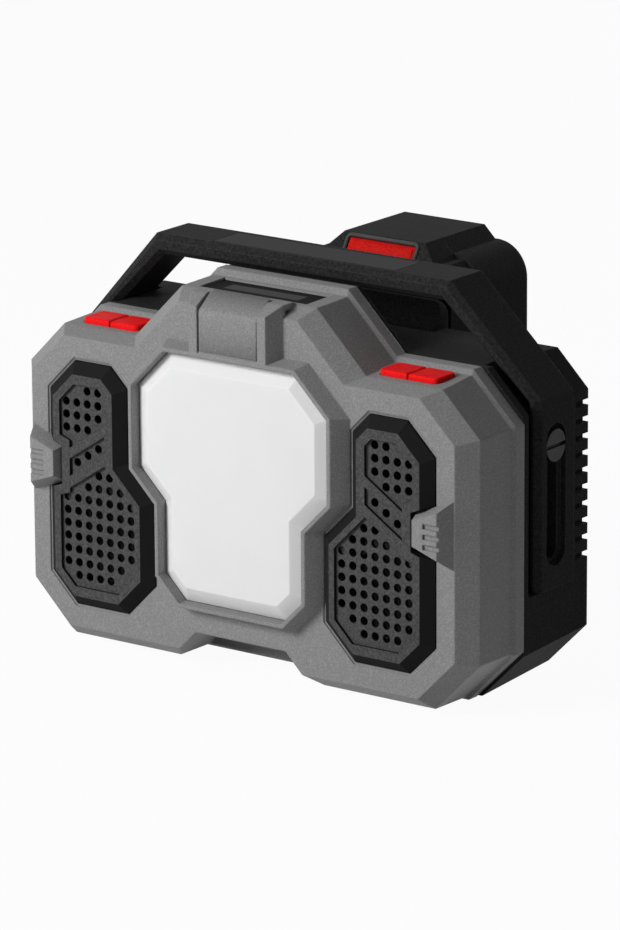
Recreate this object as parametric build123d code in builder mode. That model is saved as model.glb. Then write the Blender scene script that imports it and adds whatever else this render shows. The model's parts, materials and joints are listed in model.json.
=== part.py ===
from build123d import *
import math
import os

# A cordless jobsite speaker with a work lamp in its face, in millimetres.
# X runs to the right, Y to the back and Z up. The origin lies on the ground under the middle of the
# object. A depth is a distance behind the flat front face, and a height is measured from the ground.

os.makedirs("parts", exist_ok=True)
ROOT2 = math.sqrt(2)
SIDES = (1, -1)

# --- Fits -------------------------------------------------------------------------------------
gap = 0.3  # between a loose panel or a moving piece and what it sits in
slide_gap = 0.4  # between the battery's rail and its dock
screw_fit = 0.05  # around a shank that turns

# --- Front moulding ---------------------------------------------------------------------------
wall = 2.6
face_wall = 3.0
face_half = 100.0
face_top = 124.0
face_bottom = 7.5
crown_top = 145.4
crown_half = 27.8
upper_cut = 16.0
lower_cut = 17.0
brow_depth = 7.5
skirt_depth = 27.0
rim_front = 28.6
rim_back = 34.0
flush = dict(side=0.0, top=0.0, bottom=0.0, crown=0.0, slant=0.0)
brow = dict(side=6.4, top=2.6, bottom=5.0, crown=4.1, slant=5.7)
skirt = dict(side=6.4, top=3.8, bottom=5.3, crown=4.5, slant=5.9)
rim = dict(side=7.8, top=5.8, bottom=6.8, crown=7.1, slant=7.2)
notch_half = 21.5
notch_top = 15.4

# --- Lamp -------------------------------------------------------------------------------------
lip_reach = 6.6
lip_wall = 1.65
collar_side = 6.4
collar_end = 3.6
collar_slant = 4.6
lamp_half = 46.1
lamp_low_half = 34.0
lamp_top = 126.6
lamp_bottom = 28.2
lamp_upper_cut = 15.5
lamp_lower_cut = 9.7
lamp_waist = 78.4
lens_edge = 1.8  # the lens edge's reach in front of the face
lens_reach = 5.5
lens_facet = 6.1
lens_wall = 2.0
lens_step = 3.0  # how far the lens flange runs under the face wall
seal_thickness = 1.0
lens_flange = 2.0
tray_flange = 1.5
tray_depth = 22.0
tray_wall = 1.5
tray_inset = 7.0
led_board_thickness = 1.6
chip_size = 3.0
chip_height = 0.8
chip_pitch = 11.0
sink_plate = 3.0
fin_reach = 17.0
fin_thickness = 1.8
fin_pitch = 8.0
upper_ear = (18.0, 133.6)
lower_ear = (16.0, 21.4)

# --- Crest over the lamp ----------------------------------------------------------------------
crest_half = 18.1
crest_root_half = 21.6
crest_rise = 1.0  # how far it stands over the crown
crest_back = 8.0
crest_round = 1.6
crest_front_top = 146.6
crest_panel_half = 14.2
crest_panel_depth = 3.3

# --- Grilles ----------------------------------------------------------------------------------
grille_side_margin = 8.9
grille_top_margin = 9.4
grille_bottom_margin = 9.7
grille_collar_gap = 1.05  # between the lamp's collar and the grille's upper inner edge
grille_heel_gap = 6.75  # between the lamp opening's low half and the grille's lower inner edge
grille_top_outer_cut = 12.4
grille_bottom_outer_cut = 11.8
grille_bottom_inner_cut = 13.55
grille_top_inner_cut = 7.85
grille_waist = 64.35
grille_reach = 4.0
grille_chamfer = 4.3
grille_skin = 1.6
grille_flange = 2.0
grille_step = 2.5
rebate_width = 1.2
rebate_depth = 0.5
pocket_inset = 3.9
pocket_outer_inset = 3.1
pocket_heel_inset = 2.5
pocket_depth = 1.3
rib_slope = 0.648
upper_rib = (91.8, 87.6)  # its top and bottom height at the pocket's inner edge
lower_rib = (80.6, 75.9)
hole_radius = 1.7
hole_pitch = 5.16
hole_row_height = 45.3
hole_shift = -0.3

# --- Finger tabs beside the grilles -----------------------------------------------------------
tab_inner = 83.2
tab_edge_margin = 0.5
tab_high = 80.7
tab_low = 66.0
tab_rise = 0.374
tab_fall = 0.344
tab_reach = 6.5
tab_gap = 0.4
tab_frame = 3.9
tab_groove_heights = (77.4, 73.4, 69.4)

# --- Keys -------------------------------------------------------------------------------------
key_start = 57.0
key_end = 84.0
key_front = 11.5
key_back = 24.5
key_top = 129.1
key_split = 0.8
key_round = 2.5
key_edge = 0.9
key_travel = 1.0
key_flange = 1.8
key_flange_step = 1.2
key_stem = 2.1
pad_thickness = 1.2
dome_height = 1.6
key_board_thickness = 1.6
key_board_start = 51.2
key_board_end = 90.2
key_board_front = 8.0
key_board_back = 27.0
key_posts = [(52.9, 18.0), (87.6, 18.0)]

# --- Display ----------------------------------------------------------------------------------
window_half = 25.0
window_front = 10.2
window_back = 25.2
window_thickness = 1.4
window_ledge = 1.5
window_sink = 0.4
display_post = (27.5, 17.7)
display_board_half = 30.5
display_board_thickness = 1.6
display_half = 22.0
display_height = 4.1

# --- Rear housing -----------------------------------------------------------------------------
strip_back = 37.4
housing_depth = 76.0
housing_front_inset = 1.2  # how far its sides lie inside the handle's, at the front and at the back
housing_rear_inset = 0.5
housing_top = 129.4
housing_front_bottom = 1.3
housing_rear_bottom = 5.1
housing_front_cuts = (16.5, 18.5)
housing_rear_cuts = (14.0, 17.5)
recess_cut = 15.2
recess_bottom = 42.3
recess_back = 66.3
tongue_reach = 3.5
tongue_wall = 1.6
strip_inset = 0.4
tower_half = 42.0
tower_top = 139.4
tower_front = 68.0
tower_ridge = 76.2
tower_back = 78.0
tower_foot = 126.4
tower_round = 5.6
vent_count = 10
vent_pitch = 6.6
vent_height = 2.4
vent_top = 111.6
vent_depth = 2.4

# --- Handle -----------------------------------------------------------------------------------
handle_reach = 8.5  # how far the arms stand out beyond the face's sides
handle_top = 158.8
handle_bar = 8.2
handle_arm = 6.0
handle_front = 38.3
handle_back = 60.5
arm_front = 42.5
arm_back = 66.0
handle_bottom = 42.6
bar_outer_half = 69.6
bar_inner_half = 66.3
shoulder_height = 117.6
shoulder_inner_height = 116.0
arm_knee = 108.0  # below it the arms are upright, and above it the handle leans
handle_chamfer = 2.4
slot_depth_centre = 54.0
slot_bottom = 51.2
slot_top = 106.9
slot_width = 12.9
slot_inner_width = 8.0
slot_recess = 2.5

# --- Fasteners --------------------------------------------------------------------------------
coin_height = 98.1
coin_radius = 6.25
coin_head = 2.4
coin_slot = 1.6
coin_shank = 3.0
insert_radius = 4.2
insert_length = 8.0
shell_screws = [(face_half - 3.0, 108.0), (face_half - 3.0, 26.0), (47.0, 121.0), (42.0, 14.0)]
boss_radius = 3.5
column_radius = 4.6
bore_radius = 3.1
screw_head_radius = 2.8
screw_head = 2.0
screw_shank = 1.4
shell_thread = 14.0
small_boss = 2.4
small_head_radius = 2.2
small_head = 1.4
small_shank = 1.1

# --- Speakers ---------------------------------------------------------------------------------
speaker_drop = 0.8  # from the hole grid's centre down to the speaker's
speaker_square = 40.0
speaker_plate = 1.5
speaker_hole_half = 16.5
speaker_depth = 18.0
magnet_radius = 14.0
magnet_depth = 9.0
cone_radius = 16.6

# --- Main board -------------------------------------------------------------------------------
board_depth = 52.0
board_thickness = 1.6
board_half = 38.0
board_bottom = 34.0
board_top = 112.0
board_posts = [(34.0, 40.0), (34.0, 106.0)]
board_blocks = [  # the half width, thickness, bottom, top and x of each square part on the board
    (7.0, 1.2, 84.0, 98.0, -8.0),
    (4.0, 1.0, 66.0, 72.0, 12.0),
    (6.0, 6.0, 46.0, 58.0, -14.0),
    (9.0, 5.5, 36.0, 41.0, 0.0),
]
board_cans = [  # the x, height, radius and length of each round part
    (16.0, 90.0, 4.0, 11.0),
    (16.0, 78.0, 4.0, 11.0),
    (-22.0, 74.0, 5.0, 5.0),
]

# --- Feet -------------------------------------------------------------------------------------
foot_radius = 6.0
foot_half = 75.0
foot_depths = (45.0, 68.0)

# --- Battery dock -----------------------------------------------------------------------------
dock_half = 36.0
dock_bottom = 36.0
dock_top = 126.0
dock_plate = 2.5
channel_wall = 4.2
lip_thickness = 3.4
lip_overhang = 4.0
terminal_half = 16.0
terminal_bottom = 40.0
terminal_height = 11.7
blade_count = 5
blade_pitch = 6.4
blade_thickness = 0.8
blade_height = 15.0
blade_depth = 3.6

# --- Battery pack -----------------------------------------------------------------------------
pack_half = 38.2
front_case_half = 36.0
front_case_cut = 6.0
pack_bottom = 39.6
pack_top = 156.0
rear_top = 150.6
case_split = 106.0
pack_back = 138.4
case_wall = 2.2
case_corner = 14.0
case_edge = 2.2
rail_half = 30.2
rail_thickness = 5.2
neck_half = 26.2
rail_top = 128.0
crown_block_half = 19.2
crown_setback = 3.4  # from the pack's back to the end of the block on its top
brow_foot = 145.0  # where the block's front starts to lean back
brow_lean = 0.61
cell_radius = 9.15
cell_length = 65.0
cell_rows = (106.2, 125.4)
cell_count = 5
cell_pitch = 18.6
strip_thickness = 0.3
pack_board_half = 24.0
pack_board_bottom = 50.0
pack_board_top = 122.0
pack_board_thickness = 1.6
pack_posts = [(20.0, 54.0), (20.0, 118.0)]
release_half = 15.5
release_bottom = 145.3
release_top = 153.9
release_depth = 9.2
release_arm = 2.2
release_travel = 3.0
latch_half = 8.0
latch_top = 135.3
latch_height = 4.0
latch_bite = 1.6

# --- Places worked out from the sizes above ---------------------------------------------------
front_y = (lip_reach - pack_back) / 2  # where the flat front face lies, with the object centred
grille_outer = face_half - grille_side_margin
grille_top = face_top - grille_top_margin
grille_bottom = face_bottom + grille_bottom_margin
grille_inner = lamp_half + collar_side + grille_collar_gap
grille_heel = lamp_low_half + grille_heel_gap
hole_centre = (grille_heel + grille_outer) / 2 + hole_shift
tab_outer = face_half - tab_edge_margin
flange_front = face_wall + gap
flange_back = flange_front + grille_flange
lens_front = face_wall + seal_thickness
lens_back = lens_front + lens_flange
tray_back = lens_back + tray_flange
chips_front = tray_depth - chip_height
led_board_back = tray_depth + led_board_thickness
sink_back = led_board_back + sink_plate
key_middle = (key_start + key_end) / 2
crown_surface = crown_top + brow["crown"]
window_top = crown_surface - window_sink
window_base = window_top - window_thickness
display_base = window_base - gap - display_height
key_flange_top = face_top + brow["top"] - wall - gap
key_flange_bottom = key_flange_top - key_flange
key_stem_bottom = key_flange_bottom - key_stem
dome_top = key_stem_bottom - key_travel - gap
pad_top = dome_top - dome_height
key_board_top = pad_top - pad_thickness
handle_half = face_half + handle_reach
handle_inner = handle_half - handle_arm
recess_half = handle_inner - gap
housing_front_half = handle_half - housing_front_inset
housing_rear_half = handle_half - housing_rear_inset
channel_inner = rail_half + slide_gap
dock_back = housing_depth + dock_plate
rail_front = dock_back + slide_gap
rail_back = rail_front + rail_thickness
lip_front = rail_back + slide_gap
lip_back = lip_front + lip_thickness
pack_front = lip_back + slide_gap
rail_bottom = terminal_bottom + terminal_height + gap


# --- Helpers ----------------------------------------------------------------------------------
def upright(depth):
    """The plane across the object at this depth: drawn as (x, height), raised towards the front."""
    return Plane.XZ.offset(-(front_y + depth))


def level(height):
    """The flat plane at this height, drawn as (x, y)."""
    return Plane.XY.offset(height)


def mirrored(right):
    """A closed outline from the points of its right half, listed from the top down."""
    return right + [(-x, height) for x, height in reversed(right)]


def facing(points, side):
    """The same points on the right (1) or the left (-1)."""
    return [(side * x, height) for x, height in points]


def both_sides(points):
    return facing(points, 1) + facing(points, -1)


def rectangle(left, right, bottom, top):
    return [(left, bottom), (right, bottom), (right, top), (left, top)]


def prism(points, front, back, mode=Mode.ADD):
    """A straight body of this outline between two depths."""
    with BuildSketch(upright(back)) as outline:
        Polygon(*points, align=None)
    extrude(outline.sketch, amount=back - front, mode=mode)


def taper(front_points, front, back_points, back, mode=Mode.ADD):
    """A body that runs from one outline to another between two depths."""
    with BuildSketch(upright(front)) as near:
        Polygon(*front_points, align=None)
    with BuildSketch(upright(back)) as far:
        Polygon(*back_points, align=None)
    loft([near.sketch, far.sketch], ruled=True, mode=mode)


def rods(spots, radius, front, back, mode=Mode.ADD):
    """Round rods, or holes, between two depths at these (x, height) places."""
    with BuildSketch(upright(back)) as rounds:
        with Locations(*spots):
            Circle(radius)
    extrude(rounds.sketch, amount=back - front, mode=mode)


def posts(spots, radius, bottom, top, mode=Mode.ADD):
    """Upright round posts, or holes, between two heights at these (x, depth) places."""
    with BuildSketch(level(bottom)) as rounds:
        with Locations(*[(x, front_y + depth) for x, depth in spots]):
            Circle(radius)
    extrude(rounds.sketch, amount=top - bottom, mode=mode)


def side_rod(hand, radius, near, far, depth, height, mode=Mode.ADD):
    """A rod, or hole, that runs outwards to one side between two distances from the middle."""
    with BuildSketch(Plane.YZ.offset(hand * near)) as rounds:
        with Locations((front_y + depth, height)):
            Circle(radius)
    extrude(rounds.sketch, amount=hand * (far - near), mode=mode)


def cone(spot, front_radius, front, back_radius, back, mode=Mode.ADD):
    """A round body about an (x, height) place that changes its radius between two depths."""
    with BuildSketch(upright(front)) as near:
        with Locations(spot):
            Circle(front_radius)
    with BuildSketch(upright(back)) as far:
        with Locations(spot):
            Circle(back_radius)
    loft([near.sketch, far.sketch], mode=mode)


def screws(spots, head_radius, head_height, shank_radius, seat, tip):
    """Screws whose heads stand behind their seat and whose shanks run forward to the tip."""
    rods(spots, head_radius, seat, seat + head_height)
    rods(spots, shank_radius, tip, seat)


def slab(half_width, front, back, bottom, top, centre=0.0, mode=Mode.ADD):
    """A square-cornered block about the x of its centre."""
    prism(rectangle(centre - half_width, centre + half_width, bottom, top), front, back, mode)


def write(piece, label):
    piece.part.label = label
    export_step(piece.part, f"parts/{label}.step")


# --- Outlines ---------------------------------------------------------------------------------
def grown(growth, amount):
    """The same growth of each edge, moved out by this much more."""
    return {edge: value + amount for edge, value in growth.items()}


def part_way(growth, share):
    return {edge: value * share for edge, value in growth.items()}


def body_outline(growth):
    """The twelve-cornered outline of the body, each edge moved out from the front face's by its growth."""
    side = face_half + growth["side"]
    top = face_top + growth["top"]
    bottom = face_bottom - growth["bottom"]
    crown = crown_top + growth["crown"]
    slant = growth["slant"] * ROOT2
    flank = crown_half + crown_top + slant
    shoulder = face_half + face_top - upper_cut + slant
    hip = face_half - face_bottom - lower_cut + slant
    return mirrored([
        (flank - crown, crown),
        (flank - top, top),
        (shoulder - top, top),
        (side, shoulder - side),
        (side, side - hip),
        (hip + bottom, bottom),
    ])


def lamp_outline(side, end=None, slant=None):
    """The outline of the lamp's opening, moved out by these amounts at its sides, ends and slants."""
    end = side if end is None else end
    slant = (side if slant is None else slant) * ROOT2
    top = lamp_top + end
    bottom = lamp_bottom - end
    half = lamp_half + side
    low = lamp_low_half + side
    shoulder = lamp_half + lamp_top - lamp_upper_cut + slant
    waist = lamp_half - lamp_waist + slant
    foot = lamp_low_half - lamp_bottom - lamp_lower_cut + slant
    return mirrored([
        (shoulder - top, top),
        (half, shoulder - half),
        (half, half - waist),
        (low, low - waist),
        (low, low - foot),
        (foot + bottom, bottom),
    ])


def grille_outline(growth=0.0, outer_growth=None, heel_growth=None):
    """The outline of the right-hand grille, moved out by these amounts all round, outside and low inside."""
    outer_growth = growth if outer_growth is None else outer_growth
    heel_growth = growth if heel_growth is None else heel_growth
    outer = grille_outer + outer_growth
    top = grille_top + growth
    bottom = grille_bottom - growth
    inner = grille_inner - growth
    heel = grille_heel - heel_growth
    top_outer = grille_outer + grille_top - grille_top_outer_cut + outer_growth * ROOT2
    bottom_outer = grille_outer - grille_bottom - grille_bottom_outer_cut + outer_growth * ROOT2
    bottom_inner = grille_heel + grille_bottom + grille_bottom_inner_cut - heel_growth * ROOT2
    waist = grille_waist - grille_heel + heel_growth * ROOT2
    top_inner = grille_top - grille_inner - grille_top_inner_cut + growth * ROOT2
    return [
        (top_outer - top, top),
        (outer, top_outer - outer),
        (outer, outer - bottom_outer),
        (bottom_outer + bottom, bottom),
        (bottom_inner - bottom, bottom),
        (heel, bottom_inner - heel),
        (heel, heel + waist),
        (inner, inner + waist),
        (inner, inner + top_inner),
        (top - top_inner, top),
    ]


def tab_outline(inset=0.0, outer_inset=0.0, lowered=0.0, raised=0.0):
    """The outline of the right-hand finger tab, drawn in by these amounts."""
    near = tab_inner + inset
    far = tab_outer - outer_inset
    return [
        (near, tab_high + tab_rise * (near - tab_inner) - lowered),
        (far, tab_high + tab_rise * (far - tab_inner) - lowered),
        (far, tab_low - tab_fall * (far - tab_inner) + raised),
        (near, tab_low - tab_fall * (near - tab_inner) + raised),
    ]


def tab_zone(margin):
    """The finger tab's outline with this margin all round it."""
    return tab_outline(-margin, -margin, -margin * math.hypot(1, tab_rise), -margin * math.hypot(1, tab_fall))


def notch_outline(growth=0.0):
    """The notch under the face, with its sides at 45 degrees down to below the ground."""
    half = notch_half + growth * (ROOT2 - 1)
    top = notch_top + growth
    return mirrored([(half, top), (half + top, 0)])


def housing_outline(half, top, bottom, cuts):
    upper, lower = cuts
    return mirrored([(half - upper, top), (half, top - upper), (half, bottom + lower), (half - lower, bottom)])


# --- Front moulding ---------------------------------------------------------------------------
with BuildPart() as fascia_hollow:
    face_share = face_wall / brow_depth
    taper(
        body_outline(grown(part_way(brow, face_share), -wall)), face_wall,
        body_outline(grown(brow, -wall)), brow_depth,
    )
    taper(body_outline(grown(brow, -wall)), brow_depth, body_outline(grown(skirt, -wall)), skirt_depth)
    prism(body_outline(grown(skirt, -wall)), skirt_depth, rim_back)
    prism(notch_outline(wall), face_wall, rim_back, Mode.SUBTRACT)

crest_root = crown_surface + crest_rise
with BuildPart() as crest:
    with BuildSketch(Plane.YZ) as crest_side:
        Polygon(
            (front_y - lip_reach, lamp_top),
            (front_y - lip_reach, crest_front_top),
            (front_y, crest_root),
            (front_y + crest_back, crest_root),
            (front_y + crest_back, crown_surface - wall / 2),
            (front_y + face_wall / 2, crown_surface - wall / 2),
            (front_y + face_wall / 2, lamp_top),
            align=None,
        )
        fillet(vertices().group_by(Axis.Y)[-1], radius=crest_round)
    extrude(amount=crest_root_half, both=True)
    with BuildSketch(level(lamp_top)) as crest_plan:
        Polygon(
            (-crest_half, front_y - lip_reach),
            (crest_half, front_y - lip_reach),
            (crest_root_half, front_y),
            (crest_root_half, front_y + crest_back),
            (-crest_root_half, front_y + crest_back),
            (-crest_root_half, front_y),
            align=None,
        )
    extrude(amount=crest_root - lamp_top, mode=Mode.INTERSECT)

with BuildPart() as crest_panel:
    with BuildSketch(Plane.YZ):
        Polygon(
            (front_y - lip_reach, lamp_top + lip_wall),
            (front_y - lip_reach + crest_panel_depth, lamp_top + lip_wall + crest_panel_depth),
            (front_y - lip_reach + crest_panel_depth, crest_front_top - crest_panel_depth),
            (front_y + crest_panel_depth, crown_surface - crest_rise),
            (front_y + crest_panel_depth, crest_root + crest_rise),
            (front_y - lip_reach, crest_root + crest_rise),
            align=None,
        )
    extrude(amount=crest_panel_half, both=True)

with BuildPart() as front_fascia:
    taper(body_outline(flush), 0, body_outline(brow), brow_depth)
    taper(body_outline(brow), brow_depth, body_outline(skirt), skirt_depth)
    prism(notch_outline(), 0, skirt_depth, Mode.SUBTRACT)
    taper(body_outline(skirt), skirt_depth, body_outline(rim), rim_front)
    prism(body_outline(rim), rim_front, rim_back)
    add(fascia_hollow.part, mode=Mode.SUBTRACT)
    taper(lamp_outline(lip_wall), -lip_reach, lamp_outline(collar_side, collar_end, collar_slant), 0)
    add(crest.part)
    add(crest_panel.part, mode=Mode.SUBTRACT)
    for hand in SIDES:
        taper(
            facing(tab_outline(1.9, 3.1, 2.4, 3.6), hand), -tab_reach,
            facing(tab_outline(), hand), 0,
        )
        for groove in tab_groove_heights:
            slab(
                4.0, -tab_reach - 1, -tab_reach + 0.9,
                groove - 1, groove + 1, hand * (tab_outer - 5.5), Mode.SUBTRACT,
            )
        with BuildSketch(upright(face_wall)) as opening:
            Polygon(*facing(grille_outline(gap), hand), align=None)
            Polygon(*facing(tab_outline(), hand), align=None, mode=Mode.SUBTRACT)
        extrude(opening.sketch, amount=face_wall, mode=Mode.SUBTRACT)
        with BuildSketch(upright(rebate_depth)) as rebate:
            Polygon(*facing(grille_outline(rebate_width), hand), align=None)
            Polygon(*facing(tab_outline(), hand), align=None, mode=Mode.SUBTRACT)
        extrude(rebate.sketch, amount=rebate_depth, mode=Mode.SUBTRACT)
        with BuildSketch(level(key_top)) as key_hole:
            with Locations((hand * key_middle, front_y + (key_front + key_back) / 2)):
                RectangleRounded(key_end - key_start + 2 * gap, key_back - key_front + 2 * gap, key_round + gap)
        extrude(key_hole.sketch, amount=-(key_top - face_top + wall), mode=Mode.SUBTRACT)
    prism(lamp_outline(0), -lip_reach, face_wall, Mode.SUBTRACT)
    slab(window_half + gap, window_front - gap, window_back + gap, window_base, crest_root, mode=Mode.SUBTRACT)
    slab(
        window_half - window_ledge, window_front + window_ledge, window_back - window_ledge,
        display_base, window_base, mode=Mode.SUBTRACT,
    )
    rods(both_sides(shell_screws), boss_radius, face_wall - 0.5, rim_back)
    rods(both_sides(shell_screws), screw_shank + screw_fit, rim_back - shell_thread, rim_back, Mode.SUBTRACT)
    rods(both_sides([upper_ear, lower_ear]), 3.0, face_wall - 0.5, lens_back)
    rods(both_sides([upper_ear, lower_ear]), small_shank + screw_fit, face_wall, lens_back, Mode.SUBTRACT)
    posts(both_sides([display_post]), small_boss, display_base, crown_surface - wall + 0.5)
    posts(both_sides([display_post]), small_shank + screw_fit, display_base, display_base + 3, Mode.SUBTRACT)
    posts(both_sides(key_posts), small_boss, key_board_top, key_flange_top + 2)
    posts(both_sides(key_posts), small_shank + screw_fit, key_board_top, key_board_top + 5, Mode.SUBTRACT)
write(front_fascia, "front_fascia")

# --- Lamp -------------------------------------------------------------------------------------
with BuildPart() as lens_diffuser:
    facet_slope = (lens_reach - lens_edge) / lens_facet
    inner_edge = lens_wall - lens_reach + facet_slope * (lens_facet - lens_wall)
    taper(lamp_outline(-gap - lens_facet), -lens_reach, lamp_outline(-gap), -lens_edge)
    prism(lamp_outline(-gap), -lens_edge, lens_front)
    prism(lamp_outline(lens_step), lens_front, lens_back)
    taper(
        lamp_outline(-gap - lens_facet), lens_wall - lens_reach,
        lamp_outline(-gap - lens_wall), inner_edge, Mode.SUBTRACT,
    )
    prism(lamp_outline(-gap - lens_wall), inner_edge, lens_back, Mode.SUBTRACT)
write(lens_diffuser, "lens_diffuser")

with BuildPart() as lens_seal:
    prism(lamp_outline(lens_step), face_wall, lens_front)
    prism(lamp_outline(0), face_wall, lens_front, Mode.SUBTRACT)
write(lens_seal, "lens_seal")

tray_screws = [(lamp_half - 4.2, 100.0), (lamp_low_half - 4.2, 50.0)]
with BuildPart() as lamp_reflector:
    prism(lamp_outline(lens_step), lens_back, tray_back)
    slab(upper_ear[0] + 4, lens_back, tray_back, lamp_top, upper_ear[1] + 3.5)
    slab(lower_ear[0] + 4, lens_back, tray_back, lower_ear[1] - 3.0, lamp_bottom)
    taper(lamp_outline(-0.5), tray_back, lamp_outline(-tray_inset), tray_depth)
    prism(lamp_outline(-2), tray_depth - tray_wall, tray_depth)
    rods(both_sides(tray_screws), small_boss - 0.2, tray_depth - 5, tray_depth)
    taper(
        lamp_outline(-0.5 - tray_wall), lens_back,
        lamp_outline(-tray_inset - tray_wall), tray_depth, Mode.SUBTRACT,
    )
    rods(both_sides([upper_ear, lower_ear]), small_shank + screw_fit, lens_back, tray_back, Mode.SUBTRACT)
    rods(both_sides(tray_screws), small_shank + screw_fit, tray_depth - 4, tray_depth, Mode.SUBTRACT)
write(lamp_reflector, "lamp_reflector")

with BuildPart() as led_board:
    prism(lamp_outline(-2), tray_depth, led_board_back)
    rods(both_sides(tray_screws), small_shank + screw_fit, tray_depth, led_board_back, Mode.SUBTRACT)
write(led_board, "led_board")

with BuildPart() as led_chips:
    with BuildSketch(upright(tray_depth)) as chip_rows:
        for row_middle, columns, rows in ((97.0, 6, 4), (56.0, 4, 4)):
            with Locations((0, row_middle)):
                with GridLocations(chip_pitch, chip_pitch, columns, rows):
                    Rectangle(chip_size, chip_size)
    extrude(chip_rows.sketch, amount=chip_height)
write(led_chips, "led_chips")

with BuildPart() as heat_sink:
    prism(lamp_outline(-2), led_board_back, sink_back)
    with BuildSketch(upright(sink_back + fin_reach)) as fins:
        with Locations((0, lamp_top / 2)):
            with GridLocations(fin_pitch, 1, 9, 1):
                Rectangle(fin_thickness, lamp_top)
        Polygon(*lamp_outline(-8), align=None, mode=Mode.INTERSECT)
    extrude(fins.sketch, amount=fin_reach)
    rods(both_sides(tray_screws), small_shank + screw_fit, led_board_back, sink_back, Mode.SUBTRACT)
write(heat_sink, "heat_sink")

with BuildPart() as lamp_screws:
    screws(both_sides([upper_ear, lower_ear]), small_head_radius, small_head, small_shank, tray_back, face_wall + 0.5)
    screws(both_sides(tray_screws), small_head_radius, small_head, small_shank, sink_back, tray_depth - 3.5)
write(lamp_screws, "lamp_screws")

# --- Display ----------------------------------------------------------------------------------
with BuildPart() as display_window:
    slab(window_half, window_front, window_back, window_base, window_top)
write(display_window, "display_window")

with BuildPart() as display_module:
    slab(display_half, window_front + 2.3, window_back - 2.2, display_base, window_base - gap)
write(display_module, "display_module")

display_board_base = display_base - display_board_thickness
with BuildPart() as display_board:
    slab(display_board_half, window_front - 0.7, window_back + 0.8, display_board_base, display_base)
    posts(both_sides([display_post]), small_shank + screw_fit, display_board_base, display_base, Mode.SUBTRACT)
write(display_board, "display_board")

with BuildPart() as display_screws:
    posts(both_sides([display_post]), small_head_radius, display_board_base - small_head, display_board_base)
    posts(both_sides([display_post]), small_shank, display_board_base, display_base + 2.7)
write(display_screws, "display_screws")

# --- Grilles ----------------------------------------------------------------------------------
plate_back = pocket_depth + grille_skin - grille_reach
pocket_floor = pocket_depth - grille_reach
chamfer_slope = grille_chamfer / grille_reach
rib_start = grille_inner + grille_chamfer + pocket_inset
speaker_spot = (hole_centre, hole_row_height - speaker_drop)
speaker_corners = [
    (speaker_spot[0] + across * speaker_hole_half, speaker_spot[1] + up * speaker_hole_half)
    for across in SIDES
    for up in SIDES
]


def rib(top, bottom):
    """A slanting band that starts at these heights at the pockets' inner edge."""
    drop = rib_slope * (grille_outer - rib_start)
    lead = rib_slope * (rib_start - grille_heel)
    return [
        (grille_heel, top + lead), (grille_outer, top - drop),
        (grille_outer, bottom - drop), (grille_heel, bottom + lead),
    ]


def hole_row(row, first, last):
    """Places along a row of the square hole grid, counted from its centre."""
    height = hole_row_height + row * hole_pitch
    return [(hole_centre + column * hole_pitch, height) for column in range(first, last + 1)]


def grille_holes():
    """Holes on a square grid below, on a shifted grid above, and three that follow the slanting band."""
    lower = [(5, -1, 0), (4, -2, 1), (-2, -2, 3), (-3, -1, 2)] + [(row, -3, 3) for row in range(-1, 4)]
    upper = [(8.4, 1, 3), (9.4, 0, 3), (10.4, 0, 3), (11.4, 0, 1)]
    spots = [spot for row in lower + upper for spot in hole_row(*row)]
    band_height = (upper_rib[1] + lower_rib[0]) / 2
    for column in range(3):
        x = hole_centre + column * hole_pitch
        spots.append((x, band_height - rib_slope * (x - rib_start) + 0.3))
    return spots


with BuildPart() as grille_hollow:
    taper(
        grille_outline(chamfer_slope * plate_back - grille_skin), plate_back,
        grille_outline(-grille_skin), 0,
    )
    prism(grille_outline(-grille_skin), 0, flange_back)
    prism(tab_zone(tab_gap + grille_skin), -grille_reach, flange_back, Mode.SUBTRACT)

with BuildPart() as grille_right:
    taper(grille_outline(-grille_chamfer), -grille_reach, grille_outline(), 0)
    prism(grille_outline(), 0, flange_front)
    prism(grille_outline(grille_step), flange_front, flange_back)
    prism(tab_zone(tab_gap), -grille_reach, flange_front, Mode.SUBTRACT)
    add(grille_hollow.part, mode=Mode.SUBTRACT)
    with BuildSketch(upright(pocket_floor)) as pockets:
        Polygon(
            *grille_outline(
                -grille_chamfer - pocket_inset,
                -grille_chamfer - pocket_outer_inset,
                -grille_chamfer - pocket_heel_inset,
            ),
            align=None,
        )
        Polygon(*rib(*upper_rib), align=None, mode=Mode.SUBTRACT)
        Polygon(*rib(*lower_rib), align=None, mode=Mode.SUBTRACT)
        Polygon(*tab_zone(tab_gap + tab_frame), align=None, mode=Mode.SUBTRACT)
    extrude(pockets.sketch, amount=pocket_depth, mode=Mode.SUBTRACT)
    rods(speaker_corners, small_boss, plate_back, flange_back)
    rods(speaker_corners, small_shank + screw_fit, flange_back - 4, flange_back, Mode.SUBTRACT)
    rods(grille_holes(), hole_radius, pocket_floor, plate_back, Mode.SUBTRACT)
write(grille_right, "grille_right")

with BuildPart() as grille_left:
    mirror(grille_right.part, about=Plane.YZ)
write(grille_left, "grille_left")

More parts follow.
